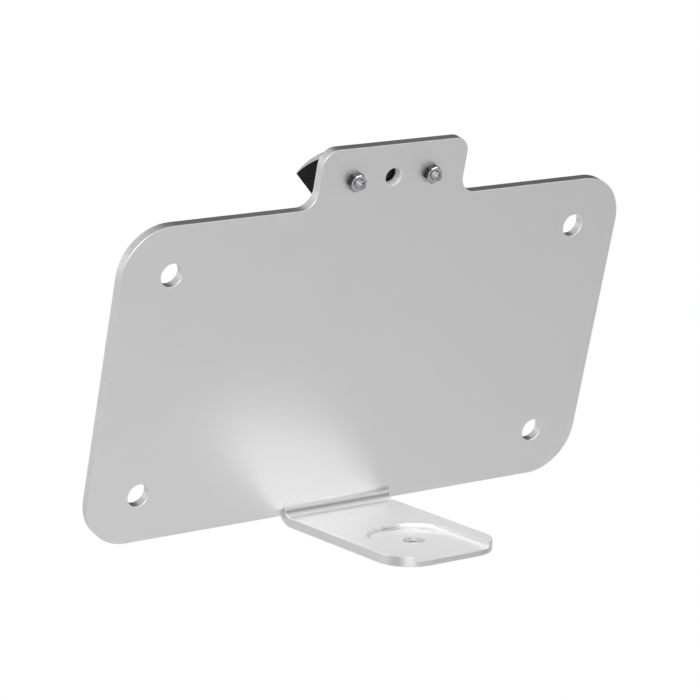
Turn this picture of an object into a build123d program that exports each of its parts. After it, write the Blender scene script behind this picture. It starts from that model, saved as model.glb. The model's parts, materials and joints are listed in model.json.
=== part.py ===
from build123d import *
from math import cos, radians, sin, sqrt, tan
import os

# Motorcycle licence-plate backing bracket: one folded aluminium sheet with a small LED plate light.
# Millimetres. +Z is up, +Y points away from the motorcycle and +X to the right, seen from the motorcycle.
# The origin is the centre of the four plate holes, on the face that the licence plate lies against.

# Sheet
sheet_thickness = 3.0
edge_break = 0.15

# Backing plate
backing_width = 180.2
backing_height = 100.6
backing_corner_radius = 15.1
plate_hole_spacing_x = 146.05
plate_hole_spacing_z = 69.85
plate_hole_diameter = 7.2

# Raised tab that carries the light
tab_width = 52.4
tab_rise = 18.0
tab_corner_radius = 5.0
tab_base_radius = 5.4
stud_spacing = 27.5
stud_line_rise = 7.7
stud_hole_diameter = 2.9
cable_hole_diameter = 5.4

# Tongue, folded towards the motorcycle
tongue_width = 39.0
tongue_length = 59.0
tongue_tilt = 14.0
tongue_corner_radius = 10.7
bend_inner_radius = 3.0
fold_line_rise = 0.3
bolt_distance = 39.5
bolt_hole_diameter = 6.5
pocket_radius = 13.8
pocket_depth = 1.4
pocket_foot_radius = 1.0

# Light: outside form
light_width = 49.0
light_depth = 10.4
light_height = 14.0
light_below_studs = 5.7
tip_rise = 3.3
cover_radius = 41.0
cover_rear_thickness = 1.8
cover_tip_thickness = 0.25
cover_seat_gap = 0.05
gasket_thickness = 0.8
gasket_margin = 1.5
gasket_corner_radius = 1.0

# Light: lens
lens_thickness = 1.5
lens_rear_land = 1.3
lens_tip_land = 1.1
lens_end_land = 1.6
lens_clearance = 0.1

# Light: circuit board and what it carries
board_length = 20.0
board_width = 4.4
board_thickness = 0.8
board_rear_land = 3.1
board_ledge = 0.5
board_clearance = 0.1
led_gap = 1.0
led_length = 3.5
led_width = 2.8
led_height = 0.8
led_spacing = 6.4
led_window_diameter = 2.2
led_window_depth = 0.15
component_room = 1.3
resistor_length = 2.0
resistor_width = 1.25
resistor_height = 0.5
resistor_spacing = 15.0
diode_length = 2.7
diode_width = 1.6
diode_height = 1.0
diode_offset = 4.0

# Light: studs moulded into the housing, and their nuts
stud_diameter = 2.5
stud_reach = 4.0
stud_end_chamfer = 0.35
stud_head_diameter = 4.6
stud_head_thickness = 1.2
stud_head_depth = 1.2
stud_moulding_gap = 0.05
nut_across_flats = 5.0
nut_height = 2.0
nut_face_diameter = 4.6
nut_chamfer_angle = 30.0
nut_thread_gap = 0.02
nut_mouth_chamfer = 0.2
nut_turns = {"left": 9.0, "right": 17.0}

# Light: rubber bush in the cable exit
seal_diameter = 3.6
seal_length = 1.5
seal_flange_diameter = 4.8
seal_flange_thickness = 0.6
seal_bore = 2.0
seal_gap = 0.03
cable_bore_depth = 2.8

# Worked-out places on the sheet
backing_top = backing_height / 2
stud_line = backing_top + stud_line_rise
front_face = -sheet_thickness
tilt = radians(tongue_tilt)
fold_line = -backing_height / 2 + fold_line_rise
bend_centre_y = front_face - bend_inner_radius
bend_centre_z = fold_line + bend_inner_radius * (1 + sin(tilt)) / cos(tilt)
bend_outer_radius = bend_inner_radius + sheet_thickness
tongue_top = Plane(
    origin=(0, front_face, fold_line), x_dir=(-1, 0, 0), z_dir=(0, sin(tilt), cos(tilt))
)
nut_corner_radius = nut_across_flats / sqrt(3)
nut_corner_drop = (nut_corner_radius - nut_face_diameter / 2) * tan(radians(nut_chamfer_angle))

# Worked-out places on the light, as (y, z) in its section
light_bottom = stud_line - light_below_studs
light_rear = Plane(origin=(0, gasket_thickness, stud_line), x_dir=(-1, 0, 0), z_dir=(0, 1, 0))
underside = Plane(
    origin=(0, gasket_thickness, light_bottom), x_dir=(1, 0, 0), z_dir=(0, -tip_rise, light_depth)
)
underside_length = sqrt(light_depth**2 + tip_rise**2)
board_top = lens_thickness + led_gap + led_height + board_thickness
board_middle = board_rear_land + board_width / 2
rear_foot = Vector(gasket_thickness, light_bottom)
rear_head = rear_foot + Vector(0, light_height)
tip = rear_foot + Vector(light_depth, tip_rise)
along_underside = (tip - rear_foot).normalized()
cover_inner_tip = tip - along_underside * cover_tip_thickness
cover_inner_head = rear_head - Vector(0, cover_rear_thickness)
housing_tip = cover_inner_tip - along_underside * cover_seat_gap
housing_head = cover_inner_head - Vector(0, cover_seat_gap)
sides = {"left": -1, "right": 1}


def bend_point(radius, share):
    """Point on the bend as (y, z): share 0 is at the plate, share 1 at the flat of the tongue."""
    angle = -share * (radians(90) + tilt)
    return bend_centre_y + radius * cos(angle), bend_centre_z + radius * sin(angle)


def tongue_point(distance, depth):
    """Point on the tongue as (y, z): distance from the fold line, depth below the upper face."""
    y = front_face - distance * cos(tilt) - depth * sin(tilt)
    z = fold_line + distance * sin(tilt) - depth * cos(tilt)
    return y, z


def save(builder, name):
    """Names a finished piece and writes its STEP file."""
    builder.part.label = name
    export_step(builder.part, f"parts/{name}.step")


os.makedirs("parts", exist_ok=True)

# Milled pocket for the bolt's washer: round behind the bolt, open at the front, rounded at the foot of its wall
with BuildPart() as pocket:
    with BuildSketch(tongue_top):
        with Locations((0, bolt_distance)):
            Circle(pocket_radius)
            Rectangle(2 * pocket_radius, tongue_length, align=(Align.CENTER, Align.MIN))
    extrude(amount=-pocket_depth)
    pocket_floor = pocket.faces().sort_by(Axis((0, 0, 0), tongue_top.z_dir))[0]
    fillet(pocket_floor.edges(), pocket_foot_radius)

# Tongue blank: bend and flat in one section, with rounded front corners, pocket and bolt hole
with BuildPart() as tongue:
    with BuildSketch(Plane.YZ):
        with BuildLine():
            ThreePointArc(*[bend_point(bend_inner_radius, share) for share in (0, 0.5, 1)])
            Polyline(
                bend_point(bend_inner_radius, 1),
                tongue_point(tongue_length, 0),
                tongue_point(tongue_length, sheet_thickness),
                bend_point(bend_outer_radius, 1),
            )
            ThreePointArc(*[bend_point(bend_outer_radius, share) for share in (1, 0.5, 0)])
            Line(bend_point(bend_outer_radius, 0), bend_point(bend_inner_radius, 0))
        make_face()
    extrude(amount=tongue_width / 2, both=True)
    front_end = tongue.faces().sort_by(Axis.Y)[0]
    fillet(front_end.edges().filter_by(Axis((0, 0, 0), tongue_top.z_dir)), tongue_corner_radius)
    side_edges = tongue.faces().filter_by(Axis.X).edges()
    rim = side_edges.filter_by(lambda edge: abs(edge.center().Z - bend_centre_z) > edge_break)
    rim = rim.filter_by(Axis((0, 0, 0), tongue_top.z_dir), reverse=True)
    chamfer(rim + tongue.faces().sort_by(Axis.Y)[0].edges().filter_by(Axis.X), edge_break)
    add(pocket.part, mode=Mode.SUBTRACT)
    with BuildSketch(tongue_top):
        with Locations((0, bolt_distance)):
            Circle(bolt_hole_diameter / 2)
    extrude(amount=-sheet_thickness, mode=Mode.SUBTRACT)

# Backing plate: the whole folded sheet
with BuildPart() as backing_plate:
    with BuildSketch(Plane.XZ) as outline:
        Rectangle(backing_width, backing_height)
        fillet(outline.vertices(), backing_corner_radius)
        with Locations((0, backing_top)):
            Rectangle(tab_width, 2 * tab_rise)
        fillet(outline.vertices().group_by(Axis.Y)[-1], tab_corner_radius)
        tab_base = outline.vertices().filter_by(
            lambda v: abs(v.Y - backing_top) < edge_break and abs(abs(v.X) - tab_width / 2) < edge_break
        )
        fillet(tab_base, tab_base_radius)
        with GridLocations(plate_hole_spacing_x, plate_hole_spacing_z, 2, 2):
            Circle(plate_hole_diameter / 2, mode=Mode.SUBTRACT)
        with Locations((-stud_spacing / 2, stud_line), (stud_spacing / 2, stud_line)):
            Circle(stud_hole_diameter / 2, mode=Mode.SUBTRACT)
        with Locations((0, stud_line)):
            Circle(cable_hole_diameter / 2, mode=Mode.SUBTRACT)
    extrude(amount=sheet_thickness)
    chamfer(backing_plate.faces().filter_by(Axis.Y).edges(), edge_break)
    with BuildSketch(Plane.XZ):
        with Locations((0, bend_centre_z)):
            Rectangle(tongue_width, backing_height, align=(Align.CENTER, Align.MAX))
    extrude(amount=sheet_thickness, mode=Mode.SUBTRACT)
    add(tongue.part)
save(backing_plate, "backing_plate")

# Rubber pad between the light and the tab
with BuildPart() as light_gasket:
    with BuildSketch(light_rear.offset(-gasket_thickness)):
        with Locations((0, light_height / 2 - light_below_studs)):
            RectangleRounded(
                light_width - 2 * gasket_margin, light_height - 2 * gasket_margin, gasket_corner_radius
            )
        with Locations((-stud_spacing / 2, 0), (stud_spacing / 2, 0)):
            Circle(stud_hole_diameter / 2, mode=Mode.SUBTRACT)
        Circle(cable_hole_diameter / 2, mode=Mode.SUBTRACT)
    extrude(amount=gasket_thickness)
save(light_gasket, "light_gasket")

# Moulded housing: wedge with the lens rebate, the board's well, the cable exit and the stud pockets
with BuildPart() as light_housing:
    with BuildSketch(Plane.YZ):
        with BuildLine():
            Line(rear_foot, housing_tip)
            RadiusArc(housing_tip, housing_head, -cover_radius)
            Line(housing_head, rear_foot)
        make_face()
    extrude(amount=light_width / 2, both=True)
    with BuildSketch(underside):
        with Locations((0, lens_rear_land)):
            Rectangle(
                light_width - 2 * lens_end_land,
                underside_length - cover_tip_thickness - lens_rear_land - lens_tip_land,
                align=(Align.CENTER, Align.MIN),
            )
    extrude(amount=lens_thickness, mode=Mode.SUBTRACT)
    with BuildSketch(underside):
        with Locations((0, board_middle)):
            Rectangle(board_length + 2 * board_clearance, board_width + 2 * board_clearance)
    extrude(amount=board_top, mode=Mode.SUBTRACT)
    with BuildSketch(underside.offset(board_top)):
        with Locations((0, board_middle)):
            Rectangle(board_length - 2 * board_ledge, board_width - 2 * board_ledge)
    extrude(amount=component_room, mode=Mode.SUBTRACT)
    with BuildSketch(light_rear):
        Circle(seal_diameter / 2)
    extrude(amount=cable_bore_depth, mode=Mode.SUBTRACT)
    with BuildSketch(light_rear):
        Circle(seal_flange_diameter / 2)
    extrude(amount=seal_flange_thickness, mode=Mode.SUBTRACT)
    with BuildSketch(light_rear):
        with Locations((-stud_spacing / 2, 0), (stud_spacing / 2, 0)):
            Circle(stud_diameter / 2 + stud_moulding_gap)
    extrude(amount=stud_head_depth, mode=Mode.SUBTRACT)
    with BuildSketch(light_rear.offset(stud_head_depth - stud_moulding_gap)):
        with Locations((-stud_spacing / 2, 0), (stud_spacing / 2, 0)):
            Circle(stud_head_diameter / 2 + stud_moulding_gap)
    extrude(amount=stud_head_thickness + 2 * stud_moulding_gap, mode=Mode.SUBTRACT)
save(light_housing, "light_housing")

# Thin metal cover, bonded over the housing's upper side
with BuildPart() as light_cover:
    with BuildSketch(Plane.YZ):
        with BuildLine():
            RadiusArc(tip, rear_head, -cover_radius)
            Line(rear_head, cover_inner_head)
            RadiusArc(cover_inner_head, cover_inner_tip, cover_radius)
            Line(cover_inner_tip, tip)
        make_face()
    extrude(amount=light_width / 2, both=True)
save(light_cover, "light_cover")

# Clear window in the underside
with BuildPart() as light_lens:
    with BuildSketch(underside):
        with Locations((0, lens_rear_land + lens_clearance)):
            Rectangle(
                light_width - 2 * (lens_end_land + lens_clearance),
                underside_length
                - cover_tip_thickness
                - lens_rear_land
                - lens_tip_land
                - 2 * lens_clearance,
                align=(Align.CENTER, Align.MIN),
            )
    extrude(amount=lens_thickness)
save(light_lens, "light_lens")

# Circuit board, pressed up against the shoulder of its well
with BuildPart() as circuit_board:
    with BuildSketch(underside.offset(board_top - board_thickness)):
        with Locations((0, board_middle)):
            Rectangle(board_length, board_width)
    extrude(amount=board_thickness)
save(circuit_board, "circuit_board")

# Three surface-mounted lamps on the side of the board that faces the lens
for led_name, place in (("led_left", -led_spacing), ("led_middle", 0), ("led_right", led_spacing)):
    with BuildPart() as led:
        with BuildSketch(underside.offset(board_top - board_thickness - led_height)):
            with Locations((place, board_middle)):
                Rectangle(led_length, led_width)
        extrude(amount=led_height)
        with BuildSketch(underside.offset(board_top - board_thickness - led_height)):
            with Locations((place, board_middle)):
                Circle(led_window_diameter / 2)
        extrude(amount=led_window_depth, mode=Mode.SUBTRACT)
    save(led, led_name)

# Resistors and the diode on the back of the board
for side, sign in sides.items():
    with BuildPart() as resistor:
        with BuildSketch(underside.offset(board_top)):
            with Locations((sign * resistor_spacing / 2, board_middle)):
                Rectangle(resistor_length, resistor_width)
        extrude(amount=resistor_height)
    save(resistor, f"resistor_{side}")

with BuildPart() as polarity_diode:
    with BuildSketch(underside.offset(board_top)):
        with Locations((diode_offset, board_middle)):
            Rectangle(diode_length, diode_width)
    extrude(amount=diode_height)
save(polarity_diode, "polarity_diode")

# Rubber bush that seals the cable exit
with BuildPart() as cable_seal:
    with BuildSketch(light_rear):
        Circle(seal_flange_diameter / 2 - seal_gap)
    extrude(amount=seal_flange_thickness)
    with BuildSketch(light_rear):
        Circle(seal_diameter / 2 - seal_gap)
    extrude(amount=seal_length)
    with BuildSketch(light_rear):
        Circle(seal_bore / 2)
    extrude(amount=seal_length, mode=Mode.SUBTRACT)
save(cable_seal, "cable_seal")

# Headed studs, each with its nut on the motorcycle's side of the tab
for side, sign in sides.items():
    with BuildPart() as stud:
        with BuildSketch(light_rear.offset(stud_head_depth)):
            with Locations((-sign * stud_spacing / 2, 0)):
                Circle(stud_head_diameter / 2)
        extrude(amount=stud_head_thickness)
        with BuildSketch(light_rear.offset(stud_head_depth)):
            with Locations((-sign * stud_spacing / 2, 0)):
                Circle(stud_diameter / 2)
        extrude(amount=-(stud_head_depth + gasket_thickness + sheet_thickness + stud_reach))
        chamfer(stud.faces().sort_by(Axis.Y)[0].edges(), stud_end_chamfer)
    save(stud, f"stud_{side}")

    nut_seat = Plane(
        origin=(sign * stud_spacing / 2, front_face, stud_line), x_dir=(1, 0, 0), z_dir=(0, -1, 0)
    )
    with BuildPart() as nut:
        with BuildSketch(nut_seat):
            RegularPolygon(nut_across_flats / 2, 6, major_radius=False, rotation=nut_turns[side])
        extrude(amount=nut_height)
        with BuildSketch(Plane(origin=nut_seat.origin, x_dir=(1, 0, 0), z_dir=(0, 0, 1))):
            Polygon(
                (0, 0),
                (nut_face_diameter / 2, 0),
                (nut_corner_radius, -nut_corner_drop),
                (nut_corner_radius, nut_corner_drop - nut_height),
                (nut_face_diameter / 2, -nut_height),
                (0, -nut_height),
                align=None,
            )
        revolve(axis=Axis(nut_seat.origin, (0, 1, 0)), mode=Mode.INTERSECT)
        with BuildSketch(nut_seat):
            Circle(stud_diameter / 2 + nut_thread_gap)
        extrude(amount=nut_height, mode=Mode.SUBTRACT)
        chamfer(nut.faces().filter_by(GeomType.CYLINDER).edges(), nut_mouth_chamfer)
    save(nut, f"nut_{side}")
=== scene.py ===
"""Looks of a motorcycle licence-plate bracket: a folded aluminium sheet with a slim plate light behind it."""

import json
import logging
import math
from abc import ABC, abstractmethod
from dataclasses import dataclass
from enum import Enum
from functools import reduce
from typing import Sequence, Union

import bmesh
import bpy
import numpy as np
from mathutils import Matrix, Vector

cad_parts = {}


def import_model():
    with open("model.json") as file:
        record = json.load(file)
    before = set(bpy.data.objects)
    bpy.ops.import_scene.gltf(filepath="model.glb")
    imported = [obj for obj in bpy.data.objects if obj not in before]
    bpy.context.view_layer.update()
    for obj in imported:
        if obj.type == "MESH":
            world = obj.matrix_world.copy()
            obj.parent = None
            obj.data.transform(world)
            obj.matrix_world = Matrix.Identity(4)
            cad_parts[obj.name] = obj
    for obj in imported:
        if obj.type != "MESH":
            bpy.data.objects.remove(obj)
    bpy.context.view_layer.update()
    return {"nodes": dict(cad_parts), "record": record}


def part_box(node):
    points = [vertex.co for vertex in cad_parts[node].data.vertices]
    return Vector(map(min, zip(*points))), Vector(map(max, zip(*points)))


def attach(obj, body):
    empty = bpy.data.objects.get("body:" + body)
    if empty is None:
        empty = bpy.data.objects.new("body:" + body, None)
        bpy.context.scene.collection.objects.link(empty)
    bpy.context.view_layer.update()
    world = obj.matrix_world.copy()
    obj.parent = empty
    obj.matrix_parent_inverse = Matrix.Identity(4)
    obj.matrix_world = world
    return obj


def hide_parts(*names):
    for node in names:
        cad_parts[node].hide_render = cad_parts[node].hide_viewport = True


LOG = logging.getLogger("bracket")
MILLIMETRE = 0.001
PHOTO_SIDE_PX = 700
SENSOR_WIDTH_MM = 36.0
BODY = "root"

Colour = tuple[float, float, float]
Socket = bpy.types.NodeSocket


class Side(Enum):
    """Left and right, seen from the motorcycle, with the sign of X on that side."""

    LEFT = -1
    RIGHT = 1

    @property
    def word(self) -> str:
        """The side as it stands in the names of pieces."""
        return self.name.lower()


@dataclass(frozen=True)
class Line:
    """A straight line along one axis of the frame: its middle, its reach and how steep its ends are."""

    middle_mm: tuple[float, float, float]
    reach_mm: tuple[float, float, float]
    slopes: tuple[float, float, float] = (1.0, 1.0, 1.0)


@dataclass(frozen=True)
class Mark:
    """A painted shade along a line: a darker colour given by its shades at distances in millimetres, nearest
    first.
    """

    line: Line
    steps: tuple[tuple[float, float], ...]


class ShaderTree:
    """A material's nodes, with short calls for the few kinds that the finishes use."""

    def __init__(self, name: str) -> None:
        """Makes an empty material with a Principled shader at its output.

        Args:
            name: The material's name.
        """
        self.material = bpy.data.materials.new(name)
        self.material.use_nodes = True
        self.nodes = self.material.node_tree.nodes
        self.links = self.material.node_tree.links
        self.shader = self.nodes["Principled BSDF"]
        self.place = self.nodes.new("ShaderNodeTexCoord").outputs["Object"]

    def set(self, **values: Union[float, tuple, Socket]) -> None:
        """Sets or links the shader's inputs, with underscores for the spaces in their names.

        Args:
            values: One value or output per input, such as base_color or roughness.
        """
        names = {socket.name.lower().replace(" ", "_"): socket for socket in self.shader.inputs}
        for key, value in values.items():
            socket = names[key]
            if isinstance(value, Socket):
                self.links.new(value, socket)
            elif isinstance(value, tuple) and len(value) == 3:
                socket.default_value = (*value, 1.0)
            else:
                socket.default_value = value

    def noise(self, size_mm: float, detail: float = 2.0, roughness: float = 0.5) -> Socket:
        """Even noise on the piece's own coordinates.

        Args:
            size_mm: Width of one spot of the noise.
            detail: Number of finer layers in it.
            roughness: Weight of the finer layers.

        Returns:
            The noise as a value from about 0.3 to 0.7.
        """
        node = self.nodes.new("ShaderNodeTexNoise")
        node.inputs["Scale"].default_value = 1.0 / (size_mm * MILLIMETRE)
        node.inputs["Detail"].default_value = detail
        node.inputs["Roughness"].default_value = roughness
        self.links.new(self.place, node.inputs["Vector"])
        return node.outputs["Fac"]

    def span(self, value: Socket, low: float, high: float, start: float = 0.3, end: float = 0.7) -> Socket:
        """A value taken from one range to another, without going past its ends.

        Args:
            value: The output to take.
            low: Result at the start of the old range.
            high: Result at its end.
            start: Start of the old range.
            end: End of the old range.

        Returns:
            The value in the new range.
        """
        node = self.nodes.new("ShaderNodeMapRange")
        for key, number in (("From Min", start), ("From Max", end), ("To Min", low), ("To Max", high)):
            node.inputs[key].default_value = number
        self.links.new(value, node.inputs["Value"])
        return node.outputs["Result"]

    def near(self, value: Socket, middle: float, spread: float) -> Socket:
        """A value that wanders a little to both sides of its middle."""
        return self.span(value, middle - spread, middle + spread)

    def tint(self, share: Socket, first: Colour, second: Colour) -> Socket:
        """A colour between two colours.

        Args:
            share: 0 gives the first colour, 1 the second.
            first: Colour at 0.
            second: Colour at 1.

        Returns:
            The mixed colour.
        """
        node = self.nodes.new("ShaderNodeMix")
        node.data_type = "RGBA"
        colours = {"A": first, "B": second}
        for socket in node.inputs:
            if socket.type == "RGBA":
                socket.default_value = (*colours[socket.name], 1.0)
        self.links.new(share, node.inputs["Factor"])
        return next(socket for socket in node.outputs if socket.type == "RGBA")

    def distance(self, line: Line) -> Socket:
        """Distance of the surface from a straight line, in metres.

        Args:
            line: The line.

        Returns:
            The distance at each point.
        """
        middle, reach = (np.array(numbers) * MILLIMETRE for numbers in (line.middle_mm, line.reach_mm))
        nothing = np.zeros(3)
        step = self.place
        for operation, operand, result in (
            ("SUBTRACT", middle, "Vector"),
            ("ABSOLUTE", nothing, "Vector"),
            ("SUBTRACT", reach, "Vector"),
            ("MAXIMUM", nothing, "Vector"),
            ("MULTIPLY", line.slopes, "Vector"),
            ("LENGTH", nothing, "Value"),
        ):
            node = self.nodes.new("ShaderNodeVectorMath")
            node.operation = operation
            node.inputs[1].default_value = operand
            self.links.new(step, node.inputs[0])
            step = node.outputs[result]
        return step

    def shades(self, distance: Socket, steps: Sequence[tuple[float, float]]) -> Socket:
        """Grey shades at chosen distances, with smooth slopes between them.

        Args:
            distance: The distance, in metres.
            steps: Distance in millimetres and shade of each step, nearest first.

        Returns:
            The shade as a colour.
        """
        reach = steps[-1][0]
        share = self.span(distance, 0.0, 1.0, 0.0, reach * MILLIMETRE)
        ramp = self.nodes.new("ShaderNodeValToRGB")
        ramp.color_ramp.interpolation = "EASE"
        stops = ramp.color_ramp.elements
        for _ in steps[2:]:
            stops.new(1.0)
        for stop, (place, shade) in zip(stops, steps):
            stop.position = place / reach
            stop.color = (shade, shade, shade, 1.0)
        self.links.new(share, ramp.inputs["Fac"])
        return ramp.outputs["Color"]

    def product(self, first: Socket, second: Socket) -> Socket:
        """Two shades multiplied.

        Args:
            first: One shade.
            second: The other.

        Returns:
            Their product as a colour.
        """
        node = self.nodes.new("ShaderNodeVectorMath")
        node.operation = "MULTIPLY"
        self.links.new(first, node.inputs[0])
        self.links.new(second, node.inputs[1])
        return node.outputs["Vector"]

    def relief(self, height: Socket, depth_mm: float, strength: float = 1.0) -> None:
        """Raises the surface by a height pattern, as bump.

        Args:
            height: The pattern.
            depth_mm: Depth of the pattern between 0 and 1.
            strength: How much of the bump is kept.
        """
        node = self.nodes.new("ShaderNodeBump")
        node.inputs["Distance"].default_value = depth_mm * MILLIMETRE
        node.inputs["Strength"].default_value = strength
        self.links.new(height, node.inputs["Height"])
        self.links.new(node.outputs["Normal"], self.shader.inputs["Normal"])


@dataclass(frozen=True)
class Finish(ABC):
    """A finish, named after the record's slot or the piece that it dresses."""

    name: str

    @abstractmethod
    def make(self) -> bpy.types.Material:
        """Builds the material."""


@dataclass(frozen=True)
class BlastedAluminium(Finish):
    """Bead-blasted, clear-anodised aluminium: an even satin with a fine grain."""

    colour: Colour = (0.94, 0.94, 0.94)
    roughness: float = 0.42
    roughness_spread: float = 0.02
    grain_mm: float = 0.35
    grain_depth_mm: float = 0.002

    def make(self) -> bpy.types.Material:
        """Builds the material."""
        return self.tree().material

    def tree(self) -> ShaderTree:
        """Builds the nodes of the even finish.

        Returns:
            The nodes, with their material.
        """
        tree = ShaderTree(self.name)
        cloud = tree.noise(size_mm=24.0, detail=3.0)
        grain = tree.noise(size_mm=self.grain_mm, detail=3.0, roughness=0.6)
        tree.set(
            metallic=1.0,
            base_color=self.colour,
            roughness=tree.near(cloud, self.roughness, self.roughness_spread),
        )
        tree.relief(grain, self.grain_depth_mm)
        return tree


@dataclass(frozen=True)
class FoldedAluminium(BlastedAluminium):
    """The same finish on the folded sheet, with painted shade along the fold and in the bolt hole, a painted
    dark reflection on the pocket's wall, and a pale cable hole.
    """

    # Painted shade: the colour darkens along the inside of the fold, where the bend's hollow falls into
    # shade.
    painted_crease_shade: Mark = Mark(
        Line((0.0, -3.78, -48.18), (19.5, 0.0, 0.0), (12.0, 1.0, 1.0)),
        ((0.0, 0.38), (0.4, 0.42), (0.9, 0.62), (1.6, 0.74), (2.2, 0.86), (2.8, 0.94)),
    )
    # Painted reflection: the colour darkens on part of the pocket's rear wall and round its foot, standing in
    # for a dark thing mirrored there.
    pocket_wall: Mark = Mark(
        Line((2.5, -28.3, -44.4), (3.0, 0.0, 0.0), (0.4, 1.0, 1.0)),
        ((0.0, 0.48), (0.45, 0.60), (0.8, 0.92), (1.2, 1.0)),
    )
    # Painted shade: the colour darkens at the bottom of the bolt hole's rear wall, where the bore falls into
    # shade.
    painted_bore_shade: Mark = Mark(
        Line((2.0, -39.45, -43.9), (1.2, 0.0, 0.0), (0.6, 0.8, 1.0)),
        ((0.0, 0.30), (0.3, 0.45), (0.6, 1.0)),
    )
    drilled: Line = Line((0.0, 0.0, 58.0), (0.0, 10.0, 0.0))
    drilled_radius_mm: float = 2.72
    drilled_softness: float = 1.02

    def make(self) -> bpy.types.Material:
        """Builds the material: the painted shades multiplied into the colour, and dull walls in the drilled
        cable hole.

        Returns:
            The material.
        """
        tree = self.tree()
        edge = self.drilled_radius_mm * MILLIMETRE
        solid = tree.span(tree.distance(self.drilled), 0.0, 1.0, edge, self.drilled_softness * edge)
        # The painted shades of the fold, the pocket's wall and the bolt hole, multiplied into the base colour
        # below.
        marks = (self.painted_crease_shade, self.pocket_wall, self.painted_bore_shade)
        shades = [tree.shades(tree.distance(painted_shade.line), painted_shade.steps) for painted_shade in marks]
        tree.set(base_color=reduce(tree.product, shades), metallic=solid)
        return tree.material


@dataclass(frozen=True)
class Moulding(Finish):
    """Moulded plastic or rubber with the fine texture of its mould."""

    colour: Colour
    roughness: float
    roughness_spread: float = 0.05
    patch_mm: float = 4.0
    texture_mm: float = 0.25
    texture_depth_mm: float = 0.01
    sheen: float = 0.5

    def make(self) -> bpy.types.Material:
        """Builds the material.

        Returns:
            The material.
        """
        tree = ShaderTree(self.name)
        texture = tree.noise(size_mm=self.texture_mm)
        patches = tree.noise(size_mm=self.patch_mm)
        tree.set(
            base_color=self.colour,
            roughness=tree.near(patches, self.roughness, self.roughness_spread),
            specular_ior_level=self.sheen,
        )
        tree.relief(texture, self.texture_depth_mm)
        return tree.material


@dataclass(frozen=True)
class ClearPlastic(Finish):
    """Clear moulded window with a slight ripple in its gloss."""

    colour: Colour = (0.97, 0.98, 0.98)
    index: float = 1.585
    roughness: float = 0.04
    ripple_mm: float = 6.0

    def make(self) -> bpy.types.Material:
        """Builds the material.

        Returns:
            The material.
        """
        tree = ShaderTree(self.name)
        ripple = tree.noise(size_mm=self.ripple_mm)
        tree.set(
            base_color=self.colour,
            roughness=tree.span(ripple, self.roughness, 2 * self.roughness),
            ior=self.index,
            transmission_weight=1.0,
        )
        return tree.material


@dataclass(frozen=True)
class TurnedSteel(Finish):
    """Turned steel with fine tool marks."""

    colour: Colour
    roughness: float
    roughness_spread: float = 0.06
    mark_mm: float = 0.12
    mark_depth_mm: float = 0.003

    def make(self) -> bpy.types.Material:
        """Builds the material."""
        return self.tree().material

    def tree(self) -> ShaderTree:
        """Builds the nodes of the even finish.

        Returns:
            The nodes, with their material.
        """
        tree = ShaderTree(self.name)
        marks = tree.noise(size_mm=self.mark_mm)
        tree.set(
            metallic=1.0,
            base_color=self.colour,
            roughness=tree.near(marks, self.roughness, self.roughness_spread),
        )
        tree.relief(marks, self.mark_depth_mm)
        return tree


@dataclass(frozen=True)
class NutSteel(TurnedSteel):
    """Steel of the nuts: bright on the turned face and inside its chamfer, with a painted dark reflection on
    the flats behind.
    """

    # Near-black colour of the painted reflection on the flats, and the depth behind the face where it starts.
    flat_colour: Colour = (0.05, 0.05, 0.05)
    flat_from_y_mm: float = -4.84
    soft_mm: float = 0.08

    def make(self) -> bpy.types.Material:
        """Builds the material: its colour changes softly at one depth behind the nut's face, to the painted
        dark reflection of the flats.

        Returns:
            The material.
        """
        tree = self.tree()
        depth = tree.nodes.new("ShaderNodeSeparateXYZ")
        tree.links.new(tree.place, depth.inputs["Vector"])
        edge, soft = self.flat_from_y_mm * MILLIMETRE, self.soft_mm * MILLIMETRE
        share = tree.span(depth.outputs["Y"], 0.0, 1.0, edge - soft, edge + soft)
        # Painted reflection: the flats behind that depth get a near-black colour that stands in for a dark
        # reflection.
        tree.set(base_color=tree.tint(share, self.colour, self.flat_colour))
        return tree.material


FINISHES: tuple[Finish, ...] = (
    FoldedAluminium("sheet_aluminium"),
    BlastedAluminium("cover_aluminium", colour=(0.78, 0.78, 0.78), roughness=0.38),
    Moulding("housing_plastic", colour=(0.005, 0.005, 0.005), roughness=0.6, sheen=0.2),
    Moulding("seal_rubber", colour=(0.014, 0.014, 0.014), roughness=0.72),
    Moulding("board_laminate", colour=(0.74, 0.76, 0.72), roughness=0.45),
    Moulding("led_body", colour=(0.80, 0.79, 0.74), roughness=0.3),
    Moulding("component_body", colour=(0.02, 0.02, 0.02), roughness=0.4),
    ClearPlastic("lens_clear"),
    NutSteel("fastener_steel", colour=(0.58, 0.58, 0.59), roughness=0.16),
)


def millimetres(point: Vector) -> np.ndarray:
    """A point of the frame, in millimetres."""
    return np.array(point) / MILLIMETRE


def node_box(node: str) -> tuple[np.ndarray, np.ndarray]:
    """The box round a solid of the frame, in millimetres.

    Args:
        node: Name of the solid.

    Returns:
        The box's low and high corner.
    """
    low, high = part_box(node)
    return millimetres(low), millimetres(high)


def ring_faces(count: int, around: int) -> list[list[int]]:
    """The faces between rings of points, with a fan to a single point at each end.

    Args:
        count: Number of rings between the two single points.
        around: Number of points on each ring.

    Returns:
        The corners of each face. Point 0 is the first single point, then come the rings and the last point.
    """
    index = 1 + np.arange(count * around).reshape(count, around)
    ahead = np.roll(index, -1, axis=1)
    quads = np.stack((index[:-1], ahead[:-1], ahead[1:], index[1:]), axis=-1).reshape(-1, 4)
    first = np.zeros(around, dtype=int)
    last = np.full(around, count * around + 1)
    start = np.stack((first, ahead[0], index[0]), axis=-1)
    end = np.stack((last, index[-1], ahead[-1]), axis=-1)
    return quads.tolist() + start.tolist() + end.tolist()


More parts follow.
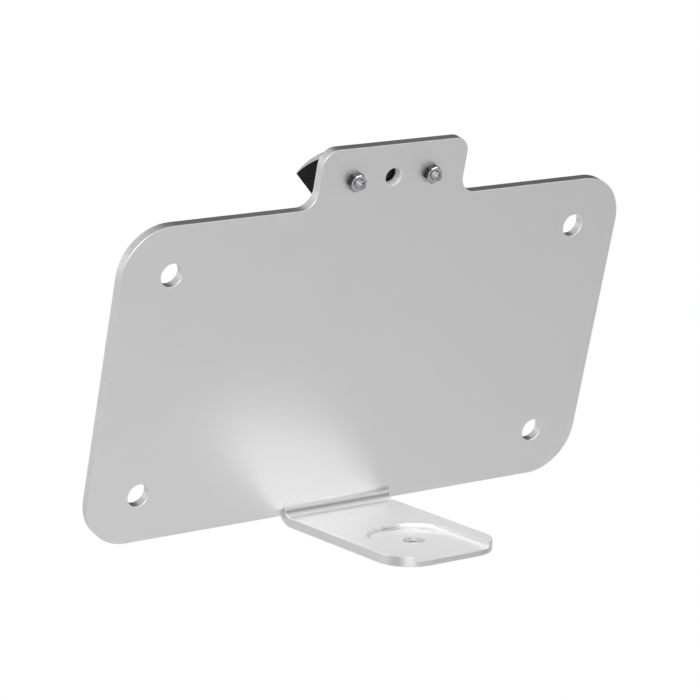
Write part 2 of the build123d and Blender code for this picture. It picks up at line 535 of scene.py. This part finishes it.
def ring_mesh(name: str, rings: np.ndarray, smooth_below_deg: float = 35.0) -> bpy.types.Object:
    """A closed piece from rings of points, whose first and last rings each shrink to one point.

    Args:
        name: The piece's name.
        rings: Points in millimetres, as (ring, place on the ring, coordinate).
        smooth_below_deg: Edges that turn less than this are shaded smooth.

    Returns:
        The new object, with its place in its mesh.
    """
    between = rings[1:-1]
    points = np.vstack((rings[0, :1], between.reshape(-1, 3), rings[-1, :1])) * MILLIMETRE
    mesh = bpy.data.meshes.new(name)
    mesh.from_pydata(points.tolist(), [], ring_faces(*between.shape[:2]))
    shell = bmesh.new()
    shell.from_mesh(mesh)
    bmesh.ops.recalc_face_normals(shell, faces=shell.faces)
    shell.to_mesh(mesh)
    shell.free()
    mesh.polygons.foreach_set("use_smooth", np.ones(len(mesh.polygons), dtype=bool))
    mesh.set_sharp_from_angle(angle=math.radians(smooth_below_deg))
    piece = bpy.data.objects.new(name, mesh)
    bpy.context.scene.collection.objects.link(piece)
    return piece


@dataclass
class ThreadedStud:
    """One of the light's fixing studs: a flat head in the moulding and a threaded shank through the tab."""

    side: Side
    shank_radius: float = 1.25
    head_thickness: float = 1.2
    end_chamfer: float = 0.35
    pitch: float = 0.45
    thread_depth: float = 0.24
    flank_slope: float = 2.3
    crest_flat: float = 0.12
    rings_per_turn: int = 12
    around: int = 72

    def thread_radius(self, height: np.ndarray, angle: np.ndarray, length: float) -> np.ndarray:
        """Radius of the thread: a flank up, a narrow crest, a flank down and a root, moved on by the angle.

        Args:
            height: Distance from the head along the shank.
            angle: Angle round the shank.
            length: Length of the shank.

        Returns:
            The radius at each height and angle, no larger than the chamfer at the shank's end.
        """
        phase = np.mod(height / self.pitch - angle / (2 * math.pi), 1.0)
        wave = np.clip(self.flank_slope * np.abs(phase - 0.5) - self.crest_flat, 0.0, 1.0)
        full_depth = np.clip(height / self.pitch, 0.0, 1.0)
        radius = self.shank_radius - self.thread_depth * full_depth * wave
        return np.minimum(radius, self.shank_radius - self.end_chamfer + length - height)

    def build(self, material: bpy.types.Material) -> bpy.types.Object:
        """Builds the stud in place of the plain solid.

        Args:
            material: Its finish.

        Returns:
            The stud.
        """
        node = f"stud_{self.side.word}"
        low, high = node_box(node)
        centre, head_radius = (low + high) / 2, (high[0] - low[0]) / 2
        length = high[1] - low[1] - self.head_thickness
        angle = np.linspace(0, 2 * math.pi, self.around, endpoint=False)
        rows = int(round(length / self.pitch * self.rings_per_turn))
        heights = np.linspace(0.0, length, rows)
        shank = self.thread_radius(heights[:, None], angle[None, :], length)
        head_heights = np.array([-self.head_thickness, -self.head_thickness, 0.0])
        head_radii = np.array([0.0, head_radius, head_radius])
        head = np.repeat(head_radii[:, None], self.around, axis=1)
        radii = np.vstack((head, shank, np.zeros((1, self.around))))
        along = np.concatenate((head_heights, heights, [length]))[:, None]
        rings = np.stack(
            (
                centre[0] + radii * np.cos(angle),
                np.broadcast_to(high[1] - self.head_thickness - along, radii.shape),
                centre[2] + radii * np.sin(angle),
            ),
            axis=-1,
        )
        stud = ring_mesh(f"threaded_{node}", rings)
        stud.data.materials.append(material)
        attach(stud, BODY)
        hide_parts(node)
        LOG.info("%s stands for %s, with %d faces", stud.name, node, len(stud.data.polygons))
        return stud


@dataclass(frozen=True)
class BoardSide:
    """Directions of the tilted circuit board: along its long side, its short side, and away from the lens."""

    across: tuple[float, float, float] = (1.0, 0.0, 0.0)
    along: tuple[float, float, float] = (0.0, 0.9532, 0.3024)
    upward: tuple[float, float, float] = (0.0, -0.3024, 0.9532)

    def place(self, centre: np.ndarray, *distances: np.ndarray) -> np.ndarray:
        """Turns distances on the board into points of the frame.

        Args:
            centre: The point that the distances start from.
            distances: Those along the long side, those along the short side, and those away from the lens.

        Returns:
            The points, with the coordinates last.
        """
        steps = np.stack(np.broadcast_arrays(*distances), axis=-1)
        return centre + steps @ np.array((self.across, self.along, self.upward))


@dataclass
class LampGel:
    """The yellow gel in a lamp's round window: a flat-backed button with a slightly domed face."""

    node: str
    board: BoardSide = BoardSide()
    body_height: float = 0.8
    window_depth: float = 0.15
    radius: float = 1.07
    dome: float = 0.05
    rings: int = 12
    around: int = 64

    def build(self, material: bpy.types.Material) -> bpy.types.Object:
        """Builds the gel: its radius goes out over the back, then the face comes in as the cap of a ball.

        Args:
            material: Its finish.

        Returns:
            The gel.
        """
        centre = np.mean(node_box(self.node), axis=0)
        inward = np.linspace(0.0, math.pi / 2, self.rings)
        radius = np.concatenate(([0.0, self.radius], self.radius * np.cos(inward)))
        rise = np.concatenate(([0.0, 0.0], self.window_depth - self.dome * (2.0 - np.sin(inward))))
        angle = np.linspace(0, 2 * math.pi, self.around, endpoint=False)
        upward = self.window_depth - self.body_height / 2 - rise
        rings = self.board.place(
            centre,
            radius[:, None] * np.cos(angle),
            radius[:, None] * np.sin(angle),
            upward[:, None],
        )
        gel = ring_mesh(f"gel_{self.node}", rings)
        gel.data.materials.append(material)
        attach(gel, BODY)
        LOG.info("%s fills the window of %s", gel.name, self.node)
        return gel


@dataclass(frozen=True)
class SolderedPart:
    """A part on the board: its solid, how long and high its body is, and how wide its soldered ends are."""

    node: str
    length: float
    height: float
    width: float
    hangs: bool = False


@dataclass
class SolderJoint:
    """A hollow-sided fillet of solder between the board and one end of a part on it."""

    part: SolderedPart
    side: Side
    board: BoardSide = BoardSide()
    run: float = 0.45
    rise: float = 0.38
    steps: int = 10
    rows: int = 9

    def build(self, material: bpy.types.Material) -> bpy.types.Object:
        """Builds the joint: a hollow curve from the board up the part's end, drawn along it and rounded off.

        Args:
            material: Its finish.

        Returns:
            The joint.
        """
        centre = np.mean(node_box(self.part.node), axis=0)
        share = np.linspace(0.0, 1.0, self.steps)
        away = np.concatenate(([0.0], self.run * (1 - share) ** 2))
        height = np.concatenate(([0.0], self.rise * share**2))
        turn = np.linspace(-math.pi / 2, math.pi / 2, self.rows)
        fullness = np.sqrt(np.clip(np.cos(turn), 0.0, 1.0))[:, None]
        toward_board = 1.0 if self.part.hangs else -1.0
        across = self.side.value * (self.part.length / 2 + fullness * away)
        upward = toward_board * (self.part.height / 2 - fullness * height)
        along = self.part.width / 2 * np.sin(turn)[:, None]
        rings = self.board.place(centre, across, along, upward)
        joint = ring_mesh(f"solder_{self.part.node}_{self.side.word}", rings)
        joint.data.materials.append(material)
        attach(joint, BODY)
        LOG.info("%s joins %s to the board", joint.name, self.part.node)
        return joint


@dataclass
class PlateLight:
    """What the plate light carries beyond its solids: the lamps' gel and the solder of the board's parts."""

    lamps: tuple[SolderedPart, ...] = tuple(
        SolderedPart(f"led_{place}", 3.5, 0.8, 2.2, hangs=True) for place in ("left", "middle", "right")
    )
    resistors: tuple[SolderedPart, ...] = tuple(
        SolderedPart(f"resistor_{side.word}", 2.0, 0.5, 1.1) for side in Side
    )
    diode: SolderedPart = SolderedPart("polarity_diode", 2.7, 1.0, 1.3)

    def build(self) -> None:
        """Builds the gel and the solder, each with its own finish."""
        gel = Moulding("lamp_gel", colour=(0.86, 0.62, 0.10), roughness=0.3).make()
        solder = TurnedSteel("solder", colour=(0.78, 0.78, 0.77), roughness=0.28).make()
        for lamp in self.lamps:
            LampGel(lamp.node).build(gel)
        for part in (*self.lamps, *self.resistors, self.diode):
            for side in Side:
                SolderJoint(part, side).build(solder)


@dataclass(frozen=True)
class PhotoCamera:
    """The camera of the photograph, given by where it looks from and how it is turned."""

    position_mm: tuple[float, float, float] = (-603.99, -735.44, 420.06)
    azimuth_deg: float = -39.286
    elevation_deg: float = 23.789
    roll_deg: float = 10.007
    focal_px: float = 3499.5

    def make(self) -> bpy.types.Object:
        """Builds the camera and makes it the scene's own.

        Returns:
            The camera object.
        """
        azimuth, elevation, roll = (
            math.radians(angle) for angle in (self.azimuth_deg, self.elevation_deg, self.roll_deg)
        )
        forward = Vector(
            (
                -math.sin(azimuth) * math.cos(elevation),
                math.cos(azimuth) * math.cos(elevation),
                -math.sin(elevation),
            )
        )
        level = forward.cross(Vector((0, 0, 1))).normalized()
        upright = level.cross(forward)
        right = level * math.cos(roll) + upright * math.sin(roll)
        up = right.cross(forward)
        data = bpy.data.cameras.new("photo_camera")
        data.sensor_width = SENSOR_WIDTH_MM
        data.lens = self.focal_px * SENSOR_WIDTH_MM / PHOTO_SIDE_PX
        data.clip_end = 20.0
        camera = bpy.data.objects.new("photo_camera", data)
        turn = Matrix((right, up, -forward)).transposed().to_4x4()
        camera.matrix_world = Matrix.Translation(Vector(self.position_mm) * MILLIMETRE) @ turn
        bpy.context.scene.collection.objects.link(camera)
        bpy.context.scene.camera = camera
        return camera


@dataclass(frozen=True)
class SoftLamp:
    """A round soft lamp, aimed at the middle of the bracket from a compass direction and a height."""

    name: str
    azimuth_deg: float
    elevation_deg: float
    watts: float
    diameter: float = 0.8
    distance: float = 1.5

    def make(self) -> bpy.types.Object:
        """Builds the lamp. An azimuth of 0 is in front of the bracket, and 90 is on its right.

        Returns:
            The lamp, which the camera doesn't see.
        """
        azimuth, elevation = math.radians(self.azimuth_deg), math.radians(self.elevation_deg)
        level = math.cos(elevation)
        away = Vector((math.sin(azimuth) * level, -math.cos(azimuth) * level, math.sin(elevation)))
        data = bpy.data.lights.new(self.name, "AREA")
        data.shape = "DISK"
        data.size = self.diameter
        data.energy = self.watts
        lamp = bpy.data.objects.new(self.name, data)
        lamp.location = away * self.distance
        lamp.rotation_euler = (-away).to_track_quat("-Z", "Y").to_euler()
        lamp.visible_camera = False
        bpy.context.scene.collection.objects.link(lamp)
        return lamp


@dataclass(frozen=True)
class Studio:
    """The room of the picture: a pale floor, a white backdrop beyond it, soft lamps and a dim ceiling."""

    floor_level: float = -0.45
    floor_reach: float = 6.0
    backdrop_corner: tuple[float, float] = (0.10, 0.33)
    backdrop_side: float = 3.0
    backdrop_lift: float = 0.001
    floor_colour: Colour = (0.85, 0.85, 0.85)
    ceiling_colour: Colour = (0.02, 0.02, 0.02)
    lamps: tuple[SoftLamp, ...] = (
        SoftLamp("overhead", 0, 88, 2.9),
        SoftLamp("front", 15, 33, 4.2),
        SoftLamp("front_right", 45, 33, 3.2),
        SoftLamp("front_middle", 345, 33, 1.6),
        SoftLamp("front_left", 315, 33, 2.8),
        SoftLamp("left", 285, 33, 6.0),
        SoftLamp("high_left", 315, 60, 1.2),
        SoftLamp("high_right", 90, 60, 1.1),
        SoftLamp("high_back", 180, 60, 1.4),
        SoftLamp("low_front_right", 30, 5, 1.9, 1.6),
        SoftLamp("low_front_left", 330, 5, 3.3, 1.2),
        SoftLamp("low_right", 90, 5, 2.2, 1.2),
        SoftLamp("low_back_left", 240, 5, 5.5, 1.6),
        SoftLamp("back", 207, 37, 1.2),
    )

    def sheet(self, name: str, corner: tuple[float, float], side: float, level: float) -> bpy.types.Object:
        """A level square sheet, without a material.

        Args:
            name: The object's name.
            corner: Its corner with the least X and Y.
            side: Length of its sides.
            level: Its height.

        Returns:
            The new object.
        """
        mesh = bpy.data.meshes.new(name)
        corners = [(corner[0] + x, corner[1] + y, level) for y in (0, side) for x in (0, side)]
        mesh.from_pydata(corners, [], [(0, 1, 3, 2)])
        sheet = bpy.data.objects.new(name, mesh)
        bpy.context.scene.collection.objects.link(sheet)
        return sheet

    def paper(self, name: str) -> ShaderTree:
        """Pale matt paper.

        Args:
            name: The material's name.

        Returns:
            The paper's nodes, with their material.
        """
        tree = ShaderTree(name)
        tree.set(base_color=self.floor_colour, roughness=1.0, specular_ior_level=0.0)
        return tree

    def white_paper(self, name: str) -> ShaderTree:
        """Paper that is plain white to the camera, and in what metal and clear plastic show of it.

        Args:
            name: The material's name.

        Returns:
            The paper's nodes, with their material.
        """
        tree = self.paper(name)
        rays = tree.nodes.new("ShaderNodeLightPath")
        seen = rays.outputs["Is Camera Ray"]
        for kind in ("Is Glossy Ray", "Is Transmission Ray"):
            either = tree.nodes.new("ShaderNodeMath")
            either.operation = "MAXIMUM"
            tree.links.new(seen, either.inputs[0])
            tree.links.new(rays.outputs[kind], either.inputs[1])
            seen = either.outputs["Value"]
        white = tree.nodes.new("ShaderNodeEmission")
        choice = tree.nodes.new("ShaderNodeMixShader")
        tree.links.new(seen, choice.inputs[0])
        tree.links.new(tree.shader.outputs["BSDF"], choice.inputs[1])
        tree.links.new(white.outputs["Emission"], choice.inputs[2])
        tree.links.new(choice.outputs["Shader"], tree.nodes["Material Output"].inputs["Surface"])
        return tree

    def make(self) -> None:
        """Builds the floor, the backdrop, the lamps and the world."""
        floor_corner = (-self.floor_reach, -self.floor_reach)
        floor = self.sheet("floor", floor_corner, 2 * self.floor_reach, self.floor_level)
        floor.data.materials.append(self.paper("floor_paper").material)
        backdrop_level = self.floor_level + self.backdrop_lift
        backdrop = self.sheet("backdrop", self.backdrop_corner, self.backdrop_side, backdrop_level)
        backdrop.data.materials.append(self.white_paper("backdrop_paper").material)
        for lamp in self.lamps:
            lamp.make()
        world = bpy.data.worlds.new("studio")
        world.use_nodes = True
        world.node_tree.nodes["Background"].inputs["Color"].default_value = (*self.ceiling_colour, 1.0)
        bpy.context.scene.world = world
        LOG.info("the studio has %d lamps", len(self.lamps))


def dress(nodes: dict[str, bpy.types.Object], slots: dict[str, str]) -> None:
    """Gives each solid the finish of its slot.

    Args:
        nodes: The solids, by name.
        slots: Each solid's slot, by the solid's name.
    """
    materials = {finish.name: finish.make() for finish in FINISHES}
    for node, piece in nodes.items():
        piece.data.materials.clear()
        piece.data.materials.append(materials[slots[node]])
        LOG.info("%s has the finish %s", node, slots[node])


def main() -> None:
    """Loads the solids, dresses them and sets up the studio."""
    logging.basicConfig(level=logging.INFO, format="%(name)s: %(message)s")
    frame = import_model()
    PhotoCamera().make()
    dress(frame["nodes"], {part["node"]: part["material_slot"] for part in frame["record"]["subparts"]})
    stud_steel = TurnedSteel("stud_steel", colour=(0.42, 0.42, 0.43), roughness=0.14).make()
    for side in Side:
        ThreadedStud(side).build(stud_steel)
    PlateLight().build()
    Studio().make()
    bpy.context.scene.view_settings.view_transform = "Standard"


if __name__ == "__main__":
    main()
